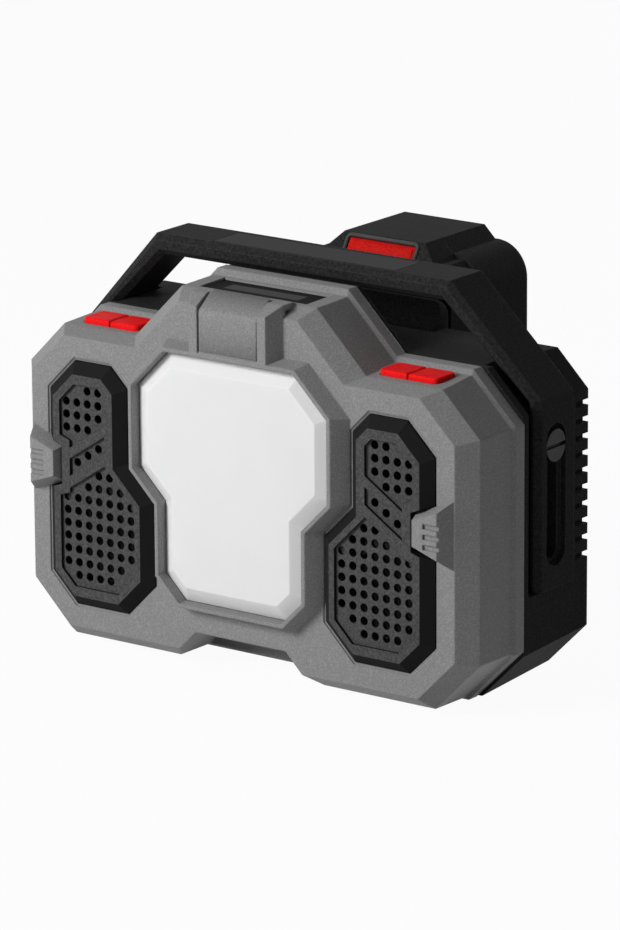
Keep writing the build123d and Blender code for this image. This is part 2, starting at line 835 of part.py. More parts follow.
# --- Speakers ---------------------------------------------------------------------------------
basket_front = flange_back + speaker_plate
for hand, hand_name in ((1, "right"), (-1, "left")):
    centre_x, centre_height = speaker_spot
    spot = (hand * centre_x, centre_height)
    corners = facing(speaker_corners, hand)
    with BuildPart() as basket:
        with BuildSketch(upright(basket_front)) as plate:
            with Locations(spot):
                RectangleRounded(speaker_square, speaker_square, 3)
        extrude(plate.sketch, amount=speaker_plate)
        cone(spot, cone_radius + 1.8, basket_front, cone_radius - 3.4, speaker_depth)
        cone(spot, cone_radius + 0.6, flange_back, cone_radius - 4.8, speaker_depth - speaker_plate, Mode.SUBTRACT)
        slab(6, basket_front + 2, speaker_depth - 3, centre_height - 20, centre_height + 20, spot[0], Mode.SUBTRACT)
        slab(20, basket_front + 2, speaker_depth - 3, centre_height - 6, centre_height + 6, spot[0], Mode.SUBTRACT)
        rods([spot], 5.0, speaker_depth - speaker_plate, speaker_depth, Mode.SUBTRACT)
        rods(corners, small_shank + screw_fit, flange_back, basket_front, Mode.SUBTRACT)
    write(basket, f"speaker_basket_{hand_name}")
    with BuildPart() as paper_cone:
        cone(spot, cone_radius - 0.6, basket_front - 0.4, 4.8, speaker_depth - 4)
        cone(spot, cone_radius - 1.2, basket_front - 0.4, 4.2, speaker_depth - 4.6, Mode.SUBTRACT)
        rods([spot], 4.4, speaker_depth - 4, speaker_depth - 0.3)
    write(paper_cone, f"speaker_cone_{hand_name}")
    with BuildPart() as magnet:
        rods([spot], magnet_radius, speaker_depth, speaker_depth + magnet_depth)
        rods([spot], magnet_radius - 2.5, speaker_depth + magnet_depth, speaker_depth + magnet_depth + 1.5)
    write(magnet, f"speaker_magnet_{hand_name}")

with BuildPart() as speaker_screws:
    screws(both_sides(speaker_corners), small_head_radius, small_head, small_shank, basket_front, flange_back - 3.5)
write(speaker_screws, "speaker_screws")

# --- Keys -------------------------------------------------------------------------------------
key_depth = (key_front + key_back) / 2
key_length = key_end - key_start
key_width = key_back - key_front
for hand, hand_name in ((1, "right"), (-1, "left")):
    for inner, outer, key_name in (
        (key_start, key_middle - key_split / 2, "inner"),
        (key_middle + key_split / 2, key_end, "outer"),
    ):
        middle = hand * (inner + outer) / 2
        span = outer - inner
        outward = hand * (1 if key_name == "outer" else -1)
        with BuildPart() as key:
            with BuildSketch(level(key_flange_bottom)) as cap:
                with Locations((hand * key_middle, front_y + key_depth)):
                    RectangleRounded(key_length, key_width, key_round)
                with Locations((middle, front_y + key_depth)):
                    Rectangle(span, key_width, mode=Mode.INTERSECT)
            extrude(cap.sketch, amount=key_top - key_flange_bottom)
            fillet(faces().sort_by(Axis.Z)[-1].edges(), key_edge)
            with BuildSketch(level(key_flange_bottom)) as skirting:
                with Locations((middle + outward * key_flange_step / 2, front_y + key_depth)):
                    Rectangle(span + key_flange_step, key_width + 2 * key_flange_step)
            extrude(skirting.sketch, amount=key_flange)
            posts([(middle, key_depth)], 2.5, key_stem_bottom, key_flange_bottom)
        write(key, f"key_{hand_name}_{key_name}")
    with BuildPart() as pad:
        slab(
            key_length / 2, key_front, key_back, key_board_top, pad_top, hand * key_middle,
        )
        posts(
            [(hand * (key_middle + step * (key_length + key_split) / 4), key_depth) for step in SIDES],
            3.2, pad_top, dome_top,
        )
    write(pad, f"key_pad_{hand_name}")
    with BuildPart() as key_board:
        prism(
            facing(rectangle(key_board_start, key_board_end, key_board_top - key_board_thickness, key_board_top), hand),
            key_board_front, key_board_back,
        )
        posts(
            facing(key_posts, hand), small_shank + screw_fit,
            key_board_top - key_board_thickness, key_board_top, Mode.SUBTRACT,
        )
    write(key_board, f"key_board_{hand_name}")

with BuildPart() as key_board_screws:
    posts(
        both_sides(key_posts), small_head_radius,
        key_board_top - key_board_thickness - small_head, key_board_top - key_board_thickness,
    )
    posts(both_sides(key_posts), small_shank, key_board_top - key_board_thickness, key_board_top + 4.5)
write(key_board_screws, "key_board_screws")

# --- Rear housing -----------------------------------------------------------------------------
housing_core_cut = recess_half + housing_top - recess_cut
cavity_half = recess_half - wall


def cavity_outline(outer_half, outer_bottom, cuts):
    """The room inside the housing: clear of the arm recesses, and one wall in from the rest."""
    bottom = outer_bottom + wall
    top = housing_top - wall
    upper = cavity_half + top - (housing_core_cut - wall * ROOT2)
    lower = cavity_half - bottom - (outer_half - outer_bottom - cuts[1] - wall * ROOT2)
    return housing_outline(cavity_half, top, bottom, (upper, lower))


def underside(depth):
    """The height of the housing's sloping underside at this depth."""
    slope = (housing_rear_bottom - housing_front_bottom) / (housing_depth - rim_back)
    return housing_front_bottom + slope * (depth - rim_back)


housing_front_outline = housing_outline(housing_front_half, housing_top, housing_front_bottom, housing_front_cuts)
housing_rear_outline = housing_outline(housing_rear_half, housing_top, housing_rear_bottom, housing_rear_cuts)
cavity_back = housing_depth - wall
column_seat = rim_back + 6
latch_bottom = latch_top - latch_height
feet = [(foot_half, depth) for depth in foot_depths]
dock_screw_spots = [(24.0, dock_top - 8), (24.0, dock_bottom + 8)]
cable_hole = (8.0, terminal_bottom + 2, terminal_bottom + 8)

with BuildPart() as tongue:
    prism(body_outline(grown(skirt, -wall - gap)), rim_back - tongue_reach, rim_back)
    prism(body_outline(grown(skirt, -wall - gap - tongue_wall)), rim_back - tongue_reach, rim_back, Mode.SUBTRACT)
    prism(notch_outline(wall + gap), rim_back - tongue_reach, rim_back, Mode.SUBTRACT)

with BuildPart() as tower:
    with BuildSketch(Plane.YZ) as tower_side:
        Polygon(
            (front_y + tower_front, housing_top),
            (front_y + tower_ridge, tower_top),
            (front_y + tower_back, tower_top),
            (front_y + tower_back, tower_foot),
            (front_y + housing_depth - wall / 2, tower_foot),
            (front_y + housing_depth - wall / 2, housing_top - wall / 2),
            (front_y + tower_front, housing_top - wall / 2),
            align=None,
        )
    extrude(tower_side.sketch, amount=tower_half, both=True)
    with BuildSketch(upright(tower_back)) as tower_face:
        Polygon(*rectangle(-tower_half, tower_half, tower_foot, tower_top), align=None)
        fillet(vertices().group_by(Axis.Y)[-1], radius=tower_round)
    extrude(tower_face.sketch, amount=tower_back - tower_front, mode=Mode.INTERSECT)

with BuildPart() as rear_housing:
    prism(body_outline(grown(rim, -strip_inset)), rim_back, rim_back + wall)
    taper(housing_front_outline, rim_back, housing_rear_outline, housing_depth)
    for hand in SIDES:
        recess = [
            (recess_half, recess_bottom),
            (housing_rear_half + 5, recess_bottom),
            (housing_rear_half + 5, housing_top + 5),
            (housing_core_cut - housing_top - 5, housing_top + 5),
            (recess_half, housing_core_cut - recess_half),
        ]
        prism(facing(recess, hand), strip_back, recess_back, Mode.SUBTRACT)
        for step in range(vent_count):
            top = vent_top - step * vent_pitch
            vent = rectangle(housing_rear_half - vent_depth, housing_rear_half + 1, top - vent_height, top)
            prism(facing(vent, hand), recess_back + 1.5, housing_depth, Mode.SUBTRACT)
    add(tower.part)
    taper(
        cavity_outline(housing_front_half, housing_front_bottom, housing_front_cuts), rim_back,
        cavity_outline(housing_rear_half, housing_rear_bottom, housing_rear_cuts), cavity_back, Mode.SUBTRACT,
    )
    add(tongue.part)
    rods(both_sides(shell_screws), column_radius, rim_back, cavity_back)
    rods(both_sides(shell_screws), bore_radius, column_seat, housing_depth, Mode.SUBTRACT)
    rods(both_sides(shell_screws), screw_shank + screw_fit, rim_back, column_seat, Mode.SUBTRACT)
    rods(both_sides(board_posts), boss_radius, board_depth, cavity_back)
    rods(both_sides(board_posts), small_shank + screw_fit, board_depth, board_depth + 6, Mode.SUBTRACT)
    rods(both_sides(dock_screw_spots), boss_radius, cavity_back - 6, cavity_back)
    rods(both_sides(dock_screw_spots), screw_shank + screw_fit, cavity_back - 6, housing_depth, Mode.SUBTRACT)
    for hand in SIDES:
        side_rod(
            hand, insert_radius + 2, recess_half - insert_length - 1, recess_half - wall / 2,
            slot_depth_centre, coin_height,
        )
        side_rod(
            hand, insert_radius, recess_half - insert_length, recess_half,
            slot_depth_centre, coin_height, Mode.SUBTRACT,
        )
    for x, depth in feet:
        floor = underside(depth + foot_radius) + 1.2
        posts(both_sides([(x, depth)]), foot_radius + 2, underside(depth + foot_radius + 2) + 0.2, floor + 2)
        posts(both_sides([(x, depth)]), foot_radius + 0.2, 0, floor, Mode.SUBTRACT)
    slab(cable_hole[0], cavity_back, housing_depth, cable_hole[1], cable_hole[2], mode=Mode.SUBTRACT)
    slab(
        latch_half + 1, tower_back - latch_bite - gap, tower_back,
        latch_bottom - gap, latch_top + gap, mode=Mode.SUBTRACT,
    )
write(rear_housing, "rear_housing")

with BuildPart() as housing_screws:
    screws(both_sides(shell_screws), screw_head_radius, screw_head, screw_shank, column_seat, rim_back - shell_thread + 1)
write(housing_screws, "housing_screws")

with BuildPart() as rubber_feet:
    for x, depth in feet:
        posts(both_sides([(x, depth)]), foot_radius, 0, underside(depth + foot_radius) + 1.2)
write(rubber_feet, "rubber_feet")

with BuildPart() as thread_inserts:
    for hand in SIDES:
        side_rod(hand, insert_radius, recess_half - insert_length, recess_half, slot_depth_centre, coin_height)
        side_rod(
            hand, coin_shank + screw_fit, recess_half - insert_length, recess_half,
            slot_depth_centre, coin_height, Mode.SUBTRACT,
        )
write(thread_inserts, "thread_inserts")

# --- Main board -------------------------------------------------------------------------------
board_front = board_depth - board_thickness
with BuildPart() as main_board:
    slab(board_half, board_front, board_depth, board_bottom, board_top)
    rods(both_sides(board_posts), small_shank + screw_fit, board_front, board_depth, Mode.SUBTRACT)
write(main_board, "main_board")

with BuildPart() as main_board_parts:
    for half_width, thickness, bottom, top, x in board_blocks:
        slab(half_width, board_depth, board_depth + thickness, bottom, top, x)
    for x, height, radius, length in board_cans:
        rods([(x, height)], radius, board_depth, board_depth + length)
write(main_board_parts, "main_board_parts")

with BuildPart() as board_screws:
    rods(both_sides(board_posts), small_head_radius, board_front - small_head, board_front)
    rods(both_sides(board_posts), small_shank, board_front, board_depth + 5.5)
write(board_screws, "board_screws")

# --- Handle -----------------------------------------------------------------------------------
with BuildPart() as handle:
    loop = mirrored([
        (bar_outer_half, handle_top),
        (handle_half, shoulder_height),
        (handle_half, handle_bottom),
        (handle_inner, handle_bottom),
        (handle_inner, shoulder_inner_height),
        (bar_inner_half, handle_top - handle_bar),
    ])
    prism(loop, handle_front, arm_back)
    with BuildSketch(Plane.YZ) as handle_side:
        Polygon(
            (front_y + handle_front, handle_top),
            (front_y + handle_back, handle_top),
            (front_y + arm_back, arm_knee),
            (front_y + arm_back, handle_bottom),
            (front_y + arm_front, handle_bottom),
            (front_y + arm_front, arm_knee),
            align=None,
        )
    extrude(handle_side.sketch, amount=handle_half, both=True, mode=Mode.INTERSECT)
    front_faces = faces().filter_by(lambda face: face.normal_at().Y < -0.9)
    chamfer(front_faces.edges().filter_by(lambda edge: edge.length > handle_arm + 1), handle_chamfer)
    slot_height = slot_top - slot_bottom
    for hand in SIDES:
        with BuildSketch(Plane.YZ.offset(hand * (handle_half - slot_recess))) as wide_slot:
            with Locations((front_y + slot_depth_centre, (slot_top + slot_bottom) / 2)):
                SlotOverall(slot_height, slot_width, rotation=90)
        extrude(wide_slot.sketch, amount=hand * slot_recess, mode=Mode.SUBTRACT)
        with BuildSketch(Plane.YZ.offset(hand * handle_inner)) as narrow_slot:
            with Locations((front_y + slot_depth_centre, (slot_top + slot_bottom) / 2)):
                SlotOverall(slot_height - slot_width + slot_inner_width, slot_inner_width, rotation=90)
        extrude(narrow_slot.sketch, amount=hand * handle_arm, mode=Mode.SUBTRACT)
write(handle, "handle")

coin_seat = handle_half - slot_recess + gap
for hand, hand_name in ((1, "right"), (-1, "left")):
    with BuildPart() as coin_screw:
        side_rod(hand, coin_radius, coin_seat, coin_seat + coin_head - gap, slot_depth_centre, coin_height)
        side_rod(hand, coin_shank, recess_half - insert_length + 1, coin_seat, slot_depth_centre, coin_height)
        with BuildSketch(Plane.YZ.offset(hand * (coin_seat + coin_head - gap))) as coin_groove:
            with Locations((front_y + slot_depth_centre, coin_height)):
                Rectangle(2 * coin_radius + 1, coin_slot)
        extrude(coin_groove.sketch, amount=-hand * 1.2, mode=Mode.SUBTRACT)
    write(coin_screw, f"coin_screw_{hand_name}")

# --- Battery dock -----------------------------------------------------------------------------
blade_front = rail_front + 0.9
blade_back = blade_front + blade_depth
blade_top = terminal_bottom + terminal_height + blade_height
blades = [(step - (blade_count - 1) / 2) * blade_pitch for step in range(blade_count)]
with BuildPart() as battery_dock:
    slab(dock_half, housing_depth, dock_back, dock_bottom, dock_top)
    for hand in SIDES:
        slab(
            channel_wall / 2, dock_back, lip_back, dock_bottom + 8, dock_top - 2,
            hand * (channel_inner + channel_wall / 2),
        )
        slab(
            lip_overhang / 2, lip_front, lip_back, dock_bottom + 8, dock_top - 2,
            hand * (channel_inner - lip_overhang / 2),
        )
    slab(terminal_half, dock_back, blade_back + 1, terminal_bottom, terminal_bottom + terminal_height)
    for x in blades:
        slab(
            blade_thickness / 2, blade_front, blade_back,
            terminal_bottom + 5, terminal_bottom + terminal_height, x, Mode.SUBTRACT,
        )
    rods(both_sides(dock_screw_spots), screw_shank + screw_fit, housing_depth, dock_back, Mode.SUBTRACT)
    rods(both_sides(dock_screw_spots), screw_head_radius + 0.2, dock_back - 1.3, dock_back, Mode.SUBTRACT)
    slab(cable_hole[0], housing_depth, dock_back, cable_hole[1], cable_hole[2], mode=Mode.SUBTRACT)
write(battery_dock, "battery_dock")

with BuildPart() as terminal_blades:
    for x in blades:
        slab(blade_thickness / 2, blade_front, blade_back, terminal_bottom + 5, blade_top, x)
write(terminal_blades, "terminal_blades")

with BuildPart() as dock_screws:
    screws(both_sides(dock_screw_spots), screw_head_radius, 1.2, screw_shank, dock_back - 1.3, cavity_back - 5)
write(dock_screws, "dock_screws")

# --- Battery pack -----------------------------------------------------------------------------
crown_foot = rear_top - case_wall + 0.2
crown_slope_foot = crown_block_half + pack_top - crown_foot
pack_screw_spots = [(28.0, rear_top - 6.7), (28.0, pack_bottom + 4.3)]
release_back = pack_front + release_depth
recess_end = release_back + release_travel + gap
arm_back_depth = pack_front + case_wall + gap + release_arm
pack_board_front = pack_front + case_wall + 1.0
first_cell = pack_bottom + case_wall + 7.0 + cell_radius


def brow_face(height):
    """The place of the pack's leaning brow at this height, as (y, height)."""
    return (front_y + pack_front + brow_lean * (height - brow_foot), height)


with BuildPart() as battery_front_case:
    prism(
        housing_outline(front_case_half, crown_foot, pack_bottom, (front_case_cut, front_case_cut)),
        pack_front, case_split,
    )
    prism(
        mirrored([(crown_block_half, pack_top), (crown_slope_foot, crown_foot)]),
        pack_front, case_split,
    )
    slab(rail_half, rail_front, rail_back, rail_bottom, rail_top)
    slab(neck_half, rail_back, pack_front, rail_bottom, rail_top)
    with BuildSketch(Plane.YZ) as brow_cut:
        brow_low = brow_face(brow_foot - 2)
        brow_high = brow_face(pack_top + 1)
        Polygon(brow_low, brow_high, (brow_low[0], brow_high[1]), align=None)
    extrude(brow_cut.sketch, amount=pack_half, both=True, mode=Mode.SUBTRACT)
    prism(
        housing_outline(
            front_case_half - case_wall, crown_foot - case_wall, pack_bottom + case_wall,
            (front_case_cut - 1.5, front_case_cut - 1.5),
        ),
        pack_front + case_wall, case_split, Mode.SUBTRACT,
    )
    slab(
        crown_block_half - case_wall, recess_end, case_split,
        crown_foot - case_wall, pack_top - 2 * case_wall, mode=Mode.SUBTRACT,
    )
    slab(
        release_half + gap, pack_front - 1, recess_end,
        release_bottom - gap, release_top + gap, mode=Mode.SUBTRACT,
    )
    slab(
        latch_half + gap, pack_front - 1, pack_front + case_wall,
        latch_bottom - gap, latch_top + gap, mode=Mode.SUBTRACT,
    )
    for x in blades:
        slab(
            blade_thickness / 2 + slide_gap, blade_front - slide_gap, blade_back + slide_gap,
            rail_bottom, blade_top + 1, x, Mode.SUBTRACT,
        )
    rods(both_sides(pack_screw_spots), small_boss, pack_front + case_wall, case_split)
    rods(both_sides(pack_posts), 2.0, pack_front + case_wall, pack_board_front)
    rods(both_sides(pack_screw_spots), small_shank + screw_fit, pack_front, case_split, Mode.SUBTRACT)
    rods(both_sides(pack_screw_spots), small_head_radius + 0.2, pack_front, pack_front + small_head, Mode.SUBTRACT)
write(battery_front_case, "battery_front_case")


def rounded_pack(inset, front, back, mode=Mode.ADD):
    """A round-cornered body, this far in from the outside of the pack's rear case."""
    with BuildSketch(upright(back)) as outline:
        with Locations((0, (pack_bottom + rear_top) / 2)):
            RectangleRounded(
                2 * (pack_half - inset), rear_top - pack_bottom - 2 * inset, case_corner - inset,
            )
    extrude(outline.sketch, amount=back - front, mode=mode)


with BuildPart() as battery_rear_case:
    rounded_pack(0, case_split, pack_back)
    fillet(faces().sort_by(Axis.Y)[-1].edges(), case_edge)
    prism(
        mirrored([(crown_block_half, pack_top), (crown_slope_foot, crown_foot)]),
        case_split, pack_back - crown_setback,
    )
    rounded_pack(case_wall, case_split, pack_back - case_wall, Mode.SUBTRACT)
    rods(both_sides(pack_screw_spots), small_boss, case_split, case_split + 12)
    for hand in SIDES:
        rib_x, rib_foot = pack_screw_spots[0]
        slab(
            0.8, case_split, case_split + 12,
            rib_foot + 1.1, rear_top - case_wall + 0.5, hand * rib_x,
        )
    rods(both_sides(pack_screw_spots), small_shank + screw_fit, case_split, case_split + 11, Mode.SUBTRACT)
write(battery_rear_case, "battery_rear_case")

with BuildPart() as battery_cells:
    with BuildSketch(Plane.YZ.offset(-cell_length / 2)) as cell_ends:
        for step in range(cell_count):
            with Locations(*[(front_y + depth, first_cell + step * cell_pitch) for depth in cell_rows]):
                Circle(cell_radius)
    extrude(cell_ends.sketch, amount=cell_length)
write(battery_cells, "battery_cells")

with BuildPart() as cell_strips:
    for hand in SIDES:
        strip = rectangle(
            cell_length / 2, cell_length / 2 + strip_thickness,
            first_cell - 5, first_cell + (cell_count - 1) * cell_pitch + 5,
        )
        prism(facing(strip, hand), cell_rows[0] - 4, cell_rows[1] + 4)
write(cell_strips, "cell_strips")

with BuildPart() as battery_board:
    slab(
        pack_board_half, pack_board_front, pack_board_front + pack_board_thickness,
        pack_board_bottom, pack_board_top,
    )
write(battery_board, "battery_board")

with BuildPart() as battery_screws:
    rods(both_sides(pack_screw_spots), small_head_radius, pack_front + 0.1, pack_front + small_head)
    rods(both_sides(pack_screw_spots), small_shank, pack_front + small_head, case_split + 10)
write(battery_screws, "battery_screws")

with BuildPart() as battery_release:
    with BuildSketch(Plane.YZ) as button_side:
        Polygon(
            brow_face(release_bottom),
            brow_face(release_top),
            (front_y + release_back, release_top),
            (front_y + release_back, release_bottom),
            align=None,
        )
    extrude(button_side.sketch, amount=release_half, both=True)
    slab(latch_half, arm_back_depth - release_arm, arm_back_depth, latch_bottom, release_bottom)
    slab(latch_half, tower_back - latch_bite, arm_back_depth, latch_bottom, latch_top)
write(battery_release, "battery_release")
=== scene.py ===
import json
import math

import bmesh
import bpy
import numpy as np
from mathutils import Matrix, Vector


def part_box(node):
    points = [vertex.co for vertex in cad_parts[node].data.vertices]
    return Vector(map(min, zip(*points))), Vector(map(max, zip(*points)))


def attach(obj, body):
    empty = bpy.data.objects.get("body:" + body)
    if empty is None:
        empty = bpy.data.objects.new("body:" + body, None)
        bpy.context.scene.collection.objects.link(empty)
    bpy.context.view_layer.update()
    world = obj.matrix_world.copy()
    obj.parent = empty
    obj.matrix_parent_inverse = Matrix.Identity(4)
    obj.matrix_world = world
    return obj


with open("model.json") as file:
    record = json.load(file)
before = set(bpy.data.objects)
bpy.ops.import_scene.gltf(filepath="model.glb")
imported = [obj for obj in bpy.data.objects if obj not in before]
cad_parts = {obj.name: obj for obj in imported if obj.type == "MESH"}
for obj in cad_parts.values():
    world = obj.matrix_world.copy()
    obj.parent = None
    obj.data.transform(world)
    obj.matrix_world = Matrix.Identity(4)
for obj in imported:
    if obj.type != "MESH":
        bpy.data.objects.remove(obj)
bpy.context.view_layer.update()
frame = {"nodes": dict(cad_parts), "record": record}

nodes = frame["nodes"]


# ---------------------------------------------------------------- node helpers

def feed(tree, target, value):
    """An input linked from a socket, or set to a value."""
    if isinstance(value, bpy.types.NodeSocket):
        tree.links.new(value, target)
    else:
        target.default_value = value


def place(tree, kind, inputs=None, **settings):
    """One node with its settings and its inputs."""
    made = tree.nodes.new("ShaderNode" + kind)
    for name, value in settings.items():
        setattr(made, name, value)
    for key, value in (inputs or {}).items():
        feed(tree, made.inputs[key], value)
    return made


def maths(tree, operation, first, second=0.0, clamp=False):
    """One sum, product or other step between two values."""
    return place(tree, "Math", {0: first, 1: second}, operation=operation, use_clamp=clamp).outputs[0]


def times(tree, first, second):
    """The product of two values."""
    return maths(tree, "MULTIPLY", first, second)


def blended(tree, amount, first, second, blend="MIX"):
    """Two colours mixed by an amount."""
    return place(tree, "Mix", {0: amount, 6: first, 7: second}, data_type="RGBA", blend_type=blend).outputs[2]


def tinted(tree, shade, gain):
    """A colour made brighter or darker by a value."""
    return blended(tree, 1.0, shade, place(tree, "CombineColor", {0: gain, 1: gain, 2: gain}).outputs[0], "MULTIPLY")


def ramp(tree, value, low, high, to_low=0.0, to_high=1.0):
    """A value carried from one range to another and held at its ends."""
    made = place(tree, "MapRange", {
        "Value": value, "From Min": low, "From Max": high, "To Min": to_low, "To Max": to_high,
    })
    return made.outputs["Result"]


def object_spot(tree):
    """The place on the surface in the object's own coordinates."""
    return place(tree, "TexCoord").outputs["Object"]


def noise(tree, spot, scale, **values):
    """A noise texture's value; its other inputs are given by name."""
    return place(tree, "TexNoise", {"Vector": spot, "Scale": scale, **values}).outputs["Fac"]


def cells(tree, spot, scale, **settings):
    """The distance to the nearest point of a cell texture."""
    return place(tree, "TexVoronoi", {"Vector": spot, "Scale": scale}, **settings).outputs["Distance"]


def inside(tree, spot, low, high, blur):
    """A mask that is one inside a flat box in x and y and fades over the blur at its border."""
    parts = place(tree, "SeparateXYZ", {0: spot}).outputs
    across, along = (
        maths(
            tree, "MINIMUM",
            ramp(tree, parts[axis], low[axis] - blur, low[axis] + blur),
            ramp(tree, parts[axis], high[axis] + blur, high[axis] - blur))
        for axis in (0, 1)
    )
    return maths(tree, "MINIMUM", across, along)


def colour(red, green=None, blue=None):
    """A colour, or a grey where only one value is given."""
    return (red, red if green is None else green, red if blue is None else blue, 1.0)


def new_group(name, inputs, outputs):
    """An empty shader group with named sockets, given as name: default."""
    tree = bpy.data.node_groups.new(name, "ShaderNodeTree")
    for side, sockets in (("INPUT", inputs), ("OUTPUT", outputs)):
        for label, value in sockets.items():
            kind = "NodeSocketColor" if isinstance(value, tuple) else "NodeSocketFloat"
            made = tree.interface.new_socket(label, in_out=side, socket_type=kind)
            made.default_value = value
    return tree, tree.nodes.new("NodeGroupInput").outputs, tree.nodes.new("NodeGroupOutput").inputs


def use(tree, group, **inputs):
    """A group placed in a material; underscores in its input names stand for spaces."""
    made = tree.nodes.new("ShaderNodeGroup")
    made.node_tree = group
    for key, value in inputs.items():
        feed(tree, made.inputs[key.replace("_", " ")], value)
    return made.outputs


# ---------------------------------------------------------------- shared effects

def make_spark_texture():
    """Spark-eroded mould texture: fine pits of one size, in millimetres, under a broader cloud, as a colour, a height
    and a roughness."""
    tree, given, out = new_group(
        "spark_texture",
        {"Colour": colour(0.3), "Pit Size": 0.4, "Contrast": 0.1, "Cloud": 0.05, "Roughness": 0.55},
        {"Colour": colour(0.3), "Height": 0.0, "Roughness": 0.5},
    )
    mean_height, strong = 0.55, 3.0
    spot = object_spot(tree)
    scale = maths(tree, "DIVIDE", 1000.0, given["Pit Size"])
    fine = noise(tree, spot, scale, Detail=2.0, Roughness=0.6)
    wide = noise(tree, spot, 38.0, Detail=3.0, Roughness=0.55)
    pits = cells(tree, spot, times(tree, scale, 0.8))
    height = maths(tree, "ADD", times(tree, fine, 0.7), times(tree, pits, 0.45))
    off = maths(tree, "SUBTRACT", height, mean_height)
    speck = times(tree, off, given["Contrast"])
    cloud = times(tree, maths(tree, "SUBTRACT", wide, 0.5), given["Cloud"])
    change = maths(tree, "ADD", times(tree, speck, strong), times(tree, cloud, strong))
    tree.links.new(tinted(tree, given["Colour"], maths(tree, "ADD", 1.0, change)), out["Colour"])
    tree.links.new(height, out["Height"])
    rough = maths(tree, "ADD", given["Roughness"], times(tree, off, 0.25))
    tree.links.new(maths(tree, "ADD", rough, cloud, True), out["Roughness"])
    return tree


def make_painted_edge_highlight():
    """A mask that rises to one along edges, from how far the rounded normal leans off the face; it places a painted
    highlight along them.
    """
    tree, given, out = new_group("painted_edge_highlight", {"Width": 0.0006, "Start": 0.02, "Full": 0.25}, {"Edge": 0.0})
    face = place(tree, "NewGeometry").outputs["Normal"]
    rounded = place(tree, "Bevel", {"Radius": given["Width"]}, samples=4).outputs["Normal"]
    lean = place(tree, "VectorMath", {0: face, 1: rounded}, operation="DOT_PRODUCT").outputs["Value"]
    away = maths(tree, "SUBTRACT", 1.0, lean)
    tree.links.new(ramp(tree, away, given["Start"], given["Full"]), out["Edge"])
    return tree


def make_hairline():
    """Fine lines across one direction, such as drawn or turned metal: a height and a tint."""
    tree, given, out = new_group(
        "hairline",
        {"Across": 3000.0, "Along": 60.0, "Strength": 0.1},
        {"Tint": 1.0, "Height": 0.0},
    )
    stretch = place(tree, "CombineXYZ", {0: given["Along"], 1: given["Across"], 2: given["Across"]}).outputs[0]
    grid = place(tree, "VectorMath", {0: object_spot(tree), 1: stretch}, operation="MULTIPLY").outputs[0]
    lines = noise(tree, grid, 1.0, Detail=3.0, Roughness=0.65)
    tree.links.new(lines, out["Height"])
    off = times(tree, maths(tree, "SUBTRACT", lines, 0.5), given["Strength"])
    tree.links.new(maths(tree, "ADD", 1.0, times(tree, off, 2.0)), out["Tint"])
    return tree


def make_handling():
    """Light handling marks: soft smears, as a mask."""
    tree, given, out = new_group("handling", {"Size": 60.0, "Amount": 0.3}, {"Smear": 0.0})
    wide = noise(tree, object_spot(tree), given["Size"], Detail=4.0, Roughness=0.6)
    tree.links.new(times(tree, ramp(tree, wide, 0.45, 0.75), given["Amount"]), out["Smear"])
    return tree


spark_texture = make_spark_texture()
painted_edge_highlight = make_painted_edge_highlight()
hairline = make_hairline()
handling = make_handling()


# ---------------------------------------------------------------- materials

texture_depth = 0.00006
shell_black = colour(0.026, 0.026, 0.0265)
shell_gloss = 0.015


def start(name, **values):
    """A material with a Principled shader and its plain values; underscores in their names stand for spaces."""
    made = bpy.data.materials.new(name)
    made.use_nodes = True
    tree = made.node_tree
    shader = tree.nodes["Principled BSDF"]
    for key, value in values.items():
        shader.inputs[key.replace("_", " ")].default_value = value
    return made, tree, shader


def bump(tree, shader, height, strength, distance, soften=0.0005):
    """The surface's relief, over edges that catch the light as if they were rounded by this much."""
    round_edge = place(tree, "Bevel", {"Radius": soften}, samples=4).outputs["Normal"]
    made = place(tree, "Bump", {"Height": height, "Strength": strength, "Distance": distance, "Normal": round_edge})
    tree.links.new(made.outputs[0], shader.inputs["Normal"])


def moulded(name, shade, pit=0.4, contrast=0.1, cloud=0.05, rough=0.55, edge=1.0,
            edge_width=0.0005, bumpy=0.6, soften=0.0005, **values):
    """Injection-moulded plastic: spark texture, with a painted highlight along its edges, where it is also smoother."""
    made, tree, shader = start(name, **values)
    grain = use(tree, spark_texture, Colour=shade, Pit_Size=pit, Contrast=contrast, Cloud=cloud, Roughness=rough)
    painted_highlight_mask = use(tree, painted_edge_highlight, Width=edge_width)["Edge"]
    # Painted highlight: the colour along the edges is made paler than the plastic.
    paler = colour(*(min(part * (1 + 0.45 * edge) + 0.006 * edge, 1.0) for part in shade[:3]))
    tree.links.new(blended(tree, times(tree, painted_highlight_mask, 0.8), grain["Colour"], paler), shader.inputs["Base Color"])
    smear = use(tree, handling, Amount=0.25)["Smear"]
    smooth = maths(tree, "SUBTRACT", grain["Roughness"], times(tree, painted_highlight_mask, 0.12))
    tree.links.new(maths(tree, "ADD", smooth, times(tree, smear, 0.15), True), shader.inputs["Roughness"])
    bump(tree, shader, grain["Height"], bumpy, texture_depth, soften)
    return made


